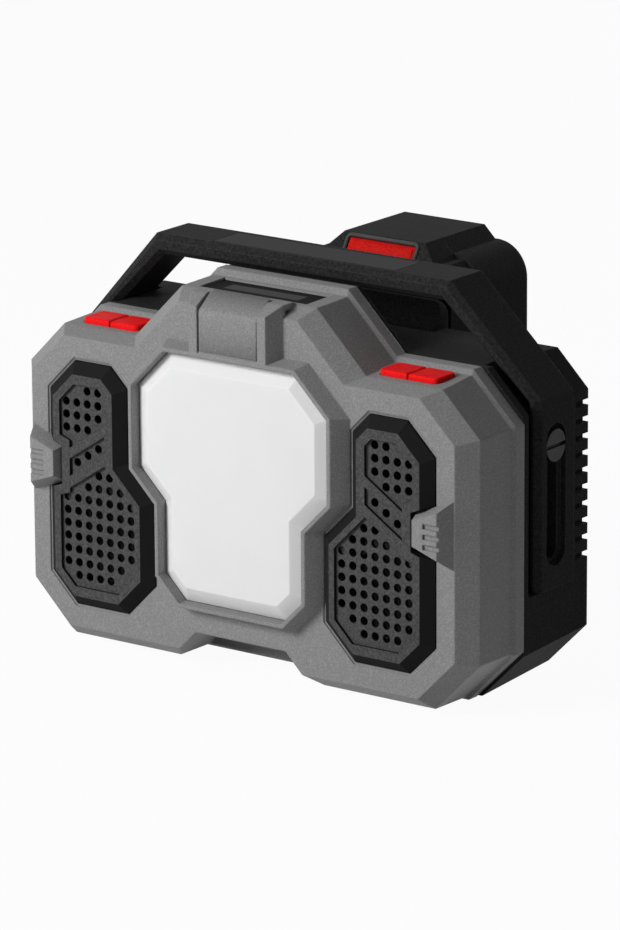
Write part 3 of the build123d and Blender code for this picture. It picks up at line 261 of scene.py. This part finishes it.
def grille_plate():
    """The speaker plates: a textured face, slanting sides darker with painted shade, a painted highlight along edges,
    pockets and holes.
    """
    made, tree, shader = start("grille_plate", Specular_IOR_Level=shell_gloss)
    grain = use(tree, spark_texture, Colour=colour(0.076), Pit_Size=0.8, Contrast=0.5, Cloud=0.04, Roughness=0.55)
    painted_highlight_mask = use(tree, painted_edge_highlight, Width=0.0005)["Edge"]
    side = place(tree, "TexCoord").outputs["Normal"]
    forward = times(tree, place(tree, "SeparateXYZ", {0: side}).outputs[1], -1.0)
    # Painted shade: sides that slant away from the front are painted darker.
    slanting, facing = 0.88, 0.95
    painted_light_tone = blended(tree, ramp(tree, forward, slanting, facing), colour(0.017), grain["Colour"])
    # Painted highlight: the edges are painted paler.
    tree.links.new(blended(tree, times(tree, painted_highlight_mask, 0.6), painted_light_tone, colour(0.085)), shader.inputs["Base Color"])
    tree.links.new(grain["Roughness"], shader.inputs["Roughness"])
    bump(tree, shader, grain["Height"], 0.6, texture_depth)
    return made


def handle_shell():
    """The handle's textured black, with a painted highlight along its edges, and a bare, smoother pad let into the
    middle of its top inside a thin groove darkened with painted shade.
    """
    made, tree, shader = start("handle_shell", Specular_IOR_Level=shell_gloss)
    grain = use(tree, spark_texture, Colour=shell_black, Pit_Size=0.9, Contrast=0.6, Cloud=0.04, Roughness=0.6)
    painted_highlight_mask = use(tree, painted_edge_highlight, Width=0.0007)["Edge"]
    spot = object_spot(tree)
    low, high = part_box("handle")
    pad_half, pad_front, pad_back, groove_width, blur = 0.043, 0.0034, 0.0196, 0.0006, 0.0001
    pad_low, pad_high = (-pad_half, low[1] + pad_front), (pad_half, low[1] + pad_back)
    rim_low, rim_high = [v - groove_width for v in pad_low], [v + groove_width for v in pad_high]
    sides, crown = high[2] - 0.0006, high[2] - 0.0002
    top = ramp(tree, place(tree, "SeparateXYZ", {0: spot}).outputs[2], sides, crown)
    pad = times(tree, inside(tree, spot, pad_low, pad_high, blur), top)
    rim = times(tree, inside(tree, spot, rim_low, rim_high, blur), top)
    shaded_groove = maths(tree, "SUBTRACT", rim, pad)
    # Painted highlight: the edges are painted paler.
    painted_light_tone = blended(tree, times(tree, painted_highlight_mask, 0.8), grain["Colour"], colour(0.085))
    painted_light_tone = blended(tree, pad, painted_light_tone, colour(0.018, 0.018, 0.0185))
    # Painted shade: the groove round the pad is painted near black.
    tree.links.new(blended(tree, shaded_groove, painted_light_tone, colour(0.006)), shader.inputs["Base Color"])
    tree.links.new(blended(tree, pad, grain["Roughness"], colour(0.42)), shader.inputs["Roughness"])
    calm = times(tree, grain["Height"], maths(tree, "SUBTRACT", 1.0, times(tree, rim, 0.85)))
    bump(tree, shader, maths(tree, "SUBTRACT", calm, times(tree, shaded_groove, 2.0)), 0.6, texture_depth)
    return made


def metal(name, shade, rough=0.3, across=3000.0, strength=0.12):
    """Metal with drawn or turned lines and smears that dull it."""
    made, tree, shader = start(name, Metallic=1.0)
    lines = use(tree, hairline, Across=across, Along=60.0, Strength=strength)
    tree.links.new(tinted(tree, shade, lines["Tint"]), shader.inputs["Base Color"])
    smear = use(tree, handling, Size=120.0, Amount=0.5)["Smear"]
    tree.links.new(maths(tree, "ADD", rough, times(tree, smear, 0.3)), shader.inputs["Roughness"])
    bump(tree, shader, lines["Height"], 0.3, 0.00003)
    return made


def opal_lens():
    """Opal diffuser: milky plastic that is a touch greyer in soft clouds, with a faint orange-peel surface."""
    made, tree, shader = start(
        "opal_lens", Subsurface_Weight=0.45, Subsurface_Scale=0.005, Subsurface_Radius=(1.0, 1.0, 1.0),
        IOR=1.49, Specular_IOR_Level=0.3)
    spot = object_spot(tree)
    cloud = ramp(tree, noise(tree, spot, 22.0, Detail=2.0), 0.35, 0.65)
    tree.links.new(blended(tree, cloud, colour(0.92, 0.92, 0.922), colour(0.95)), shader.inputs["Base Color"])
    peel = noise(tree, spot, 700.0, Detail=1.0)
    tree.links.new(ramp(tree, peel, 0.3, 0.7, 0.36, 0.44), shader.inputs["Roughness"])
    bump(tree, shader, peel, 0.15, 0.00004)
    return made


def smoked_window():
    """Smoked acrylic: a black printed border, and inside it the paler field of the unlit display, with faint smears."""
    made, tree, shader = start("smoked_window", IOR=1.49, Specular_IOR_Level=0.01)
    low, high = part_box("display_window")
    border_x, border_y, blur = 0.0075, 0.0042, 0.0002
    field_low, field_high = (low[0] + border_x, low[1] + border_y), (high[0] - border_x, high[1] - border_y)
    field = inside(tree, object_spot(tree), field_low, field_high, blur)
    smear = use(tree, handling, Size=90.0, Amount=0.6)["Smear"]
    glass = blended(tree, field, colour(0.004), colour(0.085, 0.087, 0.085))
    tree.links.new(blended(tree, times(tree, smear, 0.3), glass, colour(0.05)), shader.inputs["Base Color"])
    tree.links.new(maths(tree, "ADD", 0.35, times(tree, smear, 0.2)), shader.inputs["Roughness"])
    return made


def circuit():
    """Solder mask: green with darker tracks in steps along two directions and tinned dots."""
    made, tree, shader = start("circuit_board", IOR=1.5)
    spot = object_spot(tree)
    track = ramp(tree, cells(tree, spot, 260.0, distance="MANHATTAN"), 0.28, 0.33)
    pad = ramp(tree, cells(tree, spot, 330.0), 0.16, 0.12)
    mask = blended(tree, track, colour(0.02, 0.16, 0.06), colour(0.012, 0.09, 0.035))
    tree.links.new(blended(tree, pad, mask, colour(0.7, 0.7, 0.66)), shader.inputs["Base Color"])
    tree.links.new(pad, shader.inputs["Metallic"])
    tree.links.new(ramp(tree, pad, 0.0, 1.0, 0.35, 0.25), shader.inputs["Roughness"])
    bump(tree, shader, maths(tree, "ADD", track, pad), 0.4, 0.00004)
    return made


def cone_paper():
    """Pressed pulp: dark fibres in a soft weave of noise."""
    made, tree, shader = start("cone_paper", Specular_IOR_Level=0.2)
    fibre = noise(tree, object_spot(tree), 1400.0, Detail=4.0, Distortion=1.5)
    tree.links.new(
        blended(tree, ramp(tree, fibre, 0.4, 0.65), colour(0.012), colour(0.035)), shader.inputs["Base Color"])
    tree.links.new(ramp(tree, fibre, 0.3, 0.7, 0.8, 0.95), shader.inputs["Roughness"])
    bump(tree, shader, fibre, 0.6, 0.00008)
    return made


def cell_sleeve():
    """Shrink sleeve: blue-green film with faint lengthwise pulls."""
    made, tree, shader = start("cell_sleeve", IOR=1.5)
    lines = use(tree, hairline, Across=900.0, Along=30.0, Strength=0.2)
    tree.links.new(tinted(tree, colour(0.03, 0.19, 0.24), lines["Tint"]), shader.inputs["Base Color"])
    tree.links.new(ramp(tree, lines["Height"], 0.3, 0.7, 0.28, 0.4), shader.inputs["Roughness"])
    bump(tree, shader, lines["Height"], 0.4, 0.00005)
    return made


def phosphor():
    """LED chip: yellow phosphor gel, paler in soft patches."""
    made, tree, shader = start("phosphor", IOR=1.45)
    gel = noise(tree, object_spot(tree), 500.0, Detail=2.0)
    tree.links.new(
        blended(tree, ramp(tree, gel, 0.35, 0.65), colour(0.82, 0.62, 0.1), colour(0.9, 0.76, 0.28)),
        shader.inputs["Base Color"])
    tree.links.new(ramp(tree, gel, 0.3, 0.7, 0.25, 0.4), shader.inputs["Roughness"])
    return made


finishes = {
    "grey_plastic": moulded("grey_fascia", colour(0.255), pit=0.55, contrast=0.32, cloud=0.03, rough=0.6, edge=0.3,
                            edge_width=0.0007, soften=0.001, Specular_IOR_Level=0.2),
    "black_plastic": moulded("black_shell", shell_black, pit=0.9, contrast=0.6, cloud=0.04, rough=0.6, edge=0.35,
                             Specular_IOR_Level=shell_gloss),
    "black_grille": grille_plate(),
    "red_plastic": moulded("signal_red", colour(0.98, 0.011, 0.012), pit=0.8, contrast=0.25, cloud=0.04, rough=0.5,
                           edge=0.15, bumpy=0.5, Specular_IOR_Level=0.05),
    "diffuser": opal_lens(),
    "white_plastic": moulded("reflector_white", colour(0.84), pit=0.6, contrast=0.02, cloud=0.02, rough=0.3,
                             edge=0.05, bumpy=0.1),
    "smoked_window": smoked_window(),
    "rubber": moulded("foot_rubber", colour(0.02), pit=0.3, contrast=0.2, rough=0.8, edge=0.4,
                      Specular_IOR_Level=0.2),
    "silicone": moulded("silicone_pad", colour(0.55, 0.55, 0.53), pit=0.3, contrast=0.05, rough=0.65, edge=0.1,
                        Subsurface_Weight=0.2, Subsurface_Scale=0.002),
    "circuit_board": circuit(),
    "led_yellow": phosphor(),
    "aluminium": metal("cast_aluminium", colour(0.6, 0.61, 0.63), rough=0.38, across=1200.0, strength=0.1),
    "steel": metal("zinc_steel", colour(0.55, 0.55, 0.54), rough=0.28),
    "dark_steel": metal("black_zinc", colour(0.05, 0.05, 0.052), rough=0.34, strength=0.2),
    "brass": metal("turned_brass", colour(0.66, 0.45, 0.16), rough=0.25),
    "paper": cone_paper(),
    "ferrite": moulded("sintered_ferrite", colour(0.045, 0.044, 0.043), pit=0.7, contrast=0.3, rough=0.6, edge=0.5),
    "cell_wrap": cell_sleeve(),
    "component_black": moulded("package_black", colour(0.03), pit=0.3, contrast=0.15, rough=0.5, edge=0.3),
}
release_red = moulded("release_red", colour(0.62, 0.012, 0.009), pit=0.8, contrast=0.35, cloud=0.04, rough=0.5,
                      edge=0.15, Specular_IOR_Level=0.05)
# Painted highlight: the hood is a paler grey than the black shell, as if lit.
hood_painted_highlight = moulded("hood_painted_highlight", colour(0.085), pit=0.9, contrast=0.3, rough=0.5, Specular_IOR_Level=0.05)
coin_metal = metal("blackened_coin", colour(0.016), rough=0.4)
own_finishes = {
    "handle": handle_shell(), "battery_release": release_red,
    "coin_screw_right": coin_metal, "coin_screw_left": coin_metal,
}


def dress_frame():
    """Every CAD node takes the finish of its slot in the record, or its own where it has one."""
    slots = {part["node"]: part["material_slot"] for part in frame["record"]["subparts"]}
    for name, piece in nodes.items():
        piece.data.materials.clear()
        piece.data.materials.append(own_finishes.get(name) or finishes[slots[name]])


dress_frame()


# ---------------------------------------------------------------- pieces of their own

def settle(name, points, faces, body, slot, finish=None):
    """A smooth piece with its faces turned outwards and its finish on, riding on its body."""
    mesh = bpy.data.meshes.new(name)
    mesh.from_pydata(points.reshape(-1, 3).tolist(), [], faces)
    fit = bmesh.new()
    fit.from_mesh(mesh)
    bmesh.ops.recalc_face_normals(fit, faces=fit.faces)
    fit.to_mesh(mesh)
    fit.free()
    mesh.shade_smooth()
    piece = bpy.data.objects.new(name, mesh)
    bpy.context.collection.objects.link(piece)
    mesh.materials.append(finish or finishes[slot])
    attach(piece, body)


def surface(name, rings, body, slot, finish=None):
    """A closed piece from a grid of points, ring by ring: neighbours are joined, and the first and last ring capped."""
    count, around = rings.shape[:2]
    index = np.arange(count * around).reshape(count, around)
    near, far = index[:-1], index[1:]
    quads = np.stack([near, np.roll(near, -1, 1), np.roll(far, -1, 1), far], -1).reshape(-1, 4)
    faces = quads.tolist() + [index[0][::-1].tolist(), index[-1].tolist()]
    settle(name, rings, faces, body, slot, finish)


def unit(vectors):
    """Vectors in rows, each brought to a length of one."""
    return vectors / np.linalg.norm(vectors, axis=1)[:, None]


def left_of(vectors):
    """Flat vectors in rows or deeper, each turned a quarter to the left."""
    return np.stack([-vectors[..., 1], vectors[..., 0]], -1)


def bent_strip(corners, thickness, bend, steps=8):
    """A closed profile: a line through the corners, each turned with an arc of radius bend, with its copy one thickness
    inside. An arc's points are its centre plus the radius times cosine and sine between its two tangent directions."""
    corners = np.array(corners, float)
    before, at, after = corners[:-2], corners[1:-1], corners[2:]
    into, away = unit(at - before), unit(after - at)
    turn = np.arctan2(into[:, 0] * away[:, 1] - into[:, 1] * away[:, 0], (into * away).sum(1))
    reach = bend * np.tan(np.abs(turn) / 2)
    hand = np.sign(turn)[:, None]
    side = left_of(into)
    centre = at - into * reach[:, None] + side * hand * bend
    angle = np.linspace(0.0, 1.0, steps)[None, :, None] * turn[:, None, None]
    spoke = -side[:, None, :] * hand[..., None]
    turned = spoke * np.cos(angle) + left_of(spoke) * np.sin(angle)
    arcs = (centre[:, None, :] + bend * turned).reshape(-1, 2)
    line = np.concatenate([corners[:1], arcs, corners[-1:]])
    inner = line + thickness * left_of(unit(np.gradient(line, axis=0)))
    return np.concatenate([line, inner[::-1]])


def soft_ends(half, radius, steps=6):
    """Stations along x and how far the profile is drawn in at each: a quarter circle at both ends."""
    angle = np.linspace(0.0, math.pi / 2, steps)
    near = -half + radius * (1 - np.sin(angle))
    drawn = radius * (1 - np.cos(angle))
    return np.concatenate([near[::-1], -near]), np.concatenate([drawn[::-1], drawn])


def make_crest_panel():
    """The panel let into the crest: a plate bent back over the crest's top, carried across x with its ends drawn in."""
    low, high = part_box("front_fascia")
    sunk, drop, reach = 0.0004, 0.0009, 0.009
    face, head = low[1] + sunk, high[2] - drop
    foot, bend_height = 0.1292, 0.1452
    half, thickness, bend, end_radius = 0.0137, 0.0027, 0.0024, 0.0007
    corners = [(face, foot), (face, bend_height), (face + reach, head)]
    profile = bent_strip(corners, -thickness, bend)
    middle = profile.mean(0)
    stations, drawn = soft_ends(half, end_radius)
    size = np.abs(profile - middle).max(0)
    scale = 1 - drawn[:, None, None] / size[None, None, :]
    flat = middle + (profile - middle)[None, :, :] * scale
    across = np.broadcast_to(stations[:, None, None], flat.shape[:2] + (1,))
    surface("crest_panel", np.concatenate([across, flat], -1), "body", "grey_plastic")


def make_key_marks():
    """Four low domes near the outer end of each key. A dome is the rise times sqrt(1 - r^2) high, with r from its
    middle as a share of its radius."""
    radius, rise, sunk, shift = 0.00062, 0.00028, 0.00012, 0.0006
    spots = np.array([(3.4, 1.5), (3.4, -1.5), (1.2, 2.6), (1.2, -2.6)]) * 0.001
    around = np.linspace(0.0, 2 * math.pi, 20, endpoint=False)
    sweep = np.linspace(0.0, math.pi / 2, 6)[:-1]
    wide = np.concatenate([[radius], radius * np.cos(sweep), [radius * 0.08]])[:, None]
    lift = np.concatenate([[-rise], rise * np.sin(sweep), [rise * 0.997]])[:, None]
    dome = np.stack([wide * np.cos(around), wide * np.sin(around), lift + 0 * around], -1)
    bodies = {"right_inner": "key_ri", "right_outer": "key_ro", "left_inner": "key_li", "left_outer": "key_lo"}
    for name, body in bodies.items():
        low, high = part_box("key_" + name)
        outward = 1 if name in ("right_outer", "left_inner") else -1
        middle_x = (low[0] + high[0]) / 2 - outward * shift
        middle_y = (low[1] + high[1]) / 2
        for number, (x, y) in enumerate(spots):
            at = np.array([middle_x + outward * x, middle_y + y, high[2] - sunk])
            surface(f"mark_{name}_{number}", at + dome, body, "red_plastic")


# The leaning face over the battery's release: where its foot is and which way it runs up and looks out.
brow_lean, brow_inset, brow_height = 0.61, 0.0094, 0.145
brow_slope = math.hypot(1.0, brow_lean)
brow_foot = np.array([0.0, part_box("battery_front_case")[0][1] + brow_inset, brow_height])
brow_up = np.array([0.0, brow_lean, 1.0]) / brow_slope
brow_out = np.array([0.0, -1.0, brow_lean]) / brow_slope


def make_release_pad():
    """The thumb pad on the release: a pillow on the leaning face of the button. It is the rise times
    ((1 - u^4)(1 - v^4))^0.45 high over the face, with u across and v up the slope, both from -1 to 1."""
    columns, rows = 49, 33
    foot, head = 0.1456, 0.1536
    rise, sunk, margin = 0.0012, 0.0015, 0.0006
    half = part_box("battery_release")[1][0] - margin
    across = np.sin(np.linspace(-math.pi / 2, math.pi / 2, columns))
    along = np.sin(np.linspace(-math.pi / 2, math.pi / 2, rows))
    u, v = np.meshgrid(across, along)
    fullness = 0.45
    swell = (np.clip(1 - u ** 4, 0, 1) * np.clip(1 - v ** 4, 0, 1)) ** fullness
    height = (foot + head) / 2 + v * (head - foot) / 2
    base = np.stack([u * half, brow_foot[1] + brow_lean * (height - brow_height), height], -1)
    outer = base + (rise * swell)[..., None] * brow_out
    inner = base - sunk * brow_out
    index = np.arange(rows * columns).reshape(rows, columns)
    rim = np.concatenate([index[0], index[1:, -1], index[-1, -2::-1], index[-2:0:-1, 0]])
    below = np.arange(len(rim)) + rows * columns
    top = np.stack([index[:-1, :-1], index[:-1, 1:], index[1:, 1:], index[1:, :-1]], -1).reshape(-1, 4)
    walls = np.stack([rim, np.roll(rim, -1), np.roll(below, -1), below], -1)
    points = np.concatenate([outer.reshape(-1, 3), inner.reshape(-1, 3)[rim]])
    faces = top.tolist() + walls.tolist() + [below[::-1].tolist()]
    settle("release_pad", points, faces, "release_button", "red_plastic", release_red)


def make_release_hood():
    """The hood round the release: a half-round lip carried up the leaning face beside the button, over it and down
    the other side, its two corners turned in arcs. A ring's points are the cosine across the lip and the sine off
    the face, and both shrink with a sine towards the two feet."""
    half, top, bend = 0.0167, 0.0100 * brow_slope, 0.0018
    wide, tall, sunk = 0.0008, 0.0009, 0.0005
    foot, before_bend, first_angle = 0.0003, 0.001, 0.08
    grow = np.linspace(first_angle, math.pi / 2, 7)
    rise = np.append(foot + wide * (1 - np.cos(grow)), top - bend - before_bend)
    turn = np.linspace(0.0, math.pi / 2, 8)
    leg = np.stack([np.full(len(rise), -half), rise], 1)
    arc = np.stack([-half + bend * (1 - np.cos(turn)), top - bend + bend * np.sin(turn)], 1)
    left = np.concatenate([leg, arc])
    path = np.concatenate([left, left[::-1] * (-1, 1)])
    scale = np.append(np.sin(grow), np.ones(len(left) - len(grow)))
    scale = np.concatenate([scale, scale[::-1]])[:, None, None]
    angle = np.linspace(0.0, 2 * math.pi, 20, endpoint=False)
    side = left_of(unit(np.gradient(path, axis=0)))
    flat = path[:, None, :] + (wide * np.cos(angle))[None, :, None] * side[:, None, :] * scale
    off = np.where(np.sin(angle) > 0, tall, sunk) * np.sin(angle)
    lift = off[None, :, None] * scale * brow_out
    rings = brow_foot + flat[..., :1] * (1.0, 0.0, 0.0) + flat[..., 1:] * brow_up + lift
    # The hood's finish is grey with a painted highlight, paler than the black shell.
    surface("release_hood", rings, "battery_pack", "black_plastic", hood_painted_highlight)


make_crest_panel()
make_key_marks()
make_release_pad()
make_release_hood()


# ---------------------------------------------------------------- floor, light, camera

def seen_plainly(tree):
    """One for what the camera sees, directly, mirrored or through glass."""
    seen = place(tree, "LightPath").outputs
    mirrored = maths(tree, "MAXIMUM", seen["Is Glossy Ray"], seen["Is Transmission Ray"])
    return maths(tree, "MAXIMUM", seen["Is Camera Ray"], mirrored)


def make_floor():
    """A pale floor under the feet. It keeps the object's shadow, and to the camera it is nearly white."""
    size = 4.0
    mesh = bpy.data.meshes.new("floor")
    mesh.from_pydata([(-size, -size, 0), (size, -size, 0), (size, size, 0), (-size, size, 0)], [], [(0, 1, 2, 3)])
    floor = bpy.data.objects.new("floor", mesh)
    bpy.context.collection.objects.link(floor)
    made, tree, shader = start("pale_floor", Base_Color=colour(0.9), Roughness=0.9, Specular_IOR_Level=0.0)
    glow = place(tree, "Emission", {"Color": colour(1.0), "Strength": 1.0}).outputs[0]
    glow_share = 0.95
    share = times(tree, seen_plainly(tree), glow_share)
    mix = place(tree, "MixShader", {0: share, 1: shader.outputs[0], 2: glow})
    tree.links.new(mix.outputs[0], tree.nodes["Material Output"].inputs["Surface"])
    mesh.materials.append(made)


def make_world():
    """A dim room that looks white to the camera and in reflections."""
    world = bpy.data.worlds.new("studio")
    bpy.context.scene.world = world
    world.use_nodes = True
    tree = world.node_tree
    background = tree.nodes["Background"]
    dim, white = colour(0.035), colour(1.0)
    tree.links.new(blended(tree, seen_plainly(tree), dim, white), background.inputs["Color"])
    background.inputs["Strength"].default_value = 1.0


def stand(made, right, above, back, spot):
    """An object linked to the scene at a spot, turned so that its x, y and z run along three directions."""
    bpy.context.collection.objects.link(made)
    axes = np.stack([right, above, back], 1)
    made.matrix_world = Matrix([[*row, at] for row, at in zip(axes, spot)] + [[0, 0, 0, 1]])


def lamp(name, spot, size, power):
    """A square soft box at spot that faces the middle of the object."""
    data = bpy.data.lights.new(name, "AREA")
    data.shape = "SQUARE"
    data.size = size
    data.energy = power
    middle = (0.0, 0.0, 0.08)
    away = np.array(spot, float) - middle
    back = away / np.linalg.norm(away)
    right = np.cross((0.0, 0.0, 1.0), back)
    right /= np.linalg.norm(right)
    stand(bpy.data.objects.new(name, data), right, np.cross(back, right), back, spot)


def make_camera():
    """A long lens to the right of the front and a little above it, rolled a third of a degree."""
    sensor, lens_pixels, frame_pixels = 36.0, 5959.6, 930
    data = bpy.data.cameras.new("camera")
    data.sensor_width = sensor
    data.lens = sensor * lens_pixels / frame_pixels
    data.clip_end = 20.0
    azimuth, elevation, roll = math.radians(36.604), math.radians(15.266), math.radians(-0.359)
    level = np.array([math.cos(azimuth), math.sin(azimuth), 0.0])
    outward = np.array([math.sin(azimuth), -math.cos(azimuth), 0.0])
    back = outward * math.cos(elevation) + (0.0, 0.0, math.sin(elevation))
    upright = np.cross(back, level)
    right = math.cos(roll) * level + math.sin(roll) * upright
    above = -math.sin(roll) * level + math.cos(roll) * upright
    made = bpy.data.objects.new("camera", data)
    stand(made, right, above, back, (1.31918, -1.79660, 0.67913))
    bpy.context.scene.camera = made


make_floor()
make_world()
lamp("key_lamp", (-0.56, -1.2, 0.72), 0.5, 16.0)
lamp("top_lamp", (0.1, 0.1, 1.9), 1.0, 3.5)
lamp("side_lamp", (2.2, 0.3, 0.7), 0.9, 0.45)
lamp("rear_lamp", (0.0, 2.0, 0.25), 0.4, 16.0)
make_camera()
bpy.context.scene.view_settings.view_transform = "Standard"
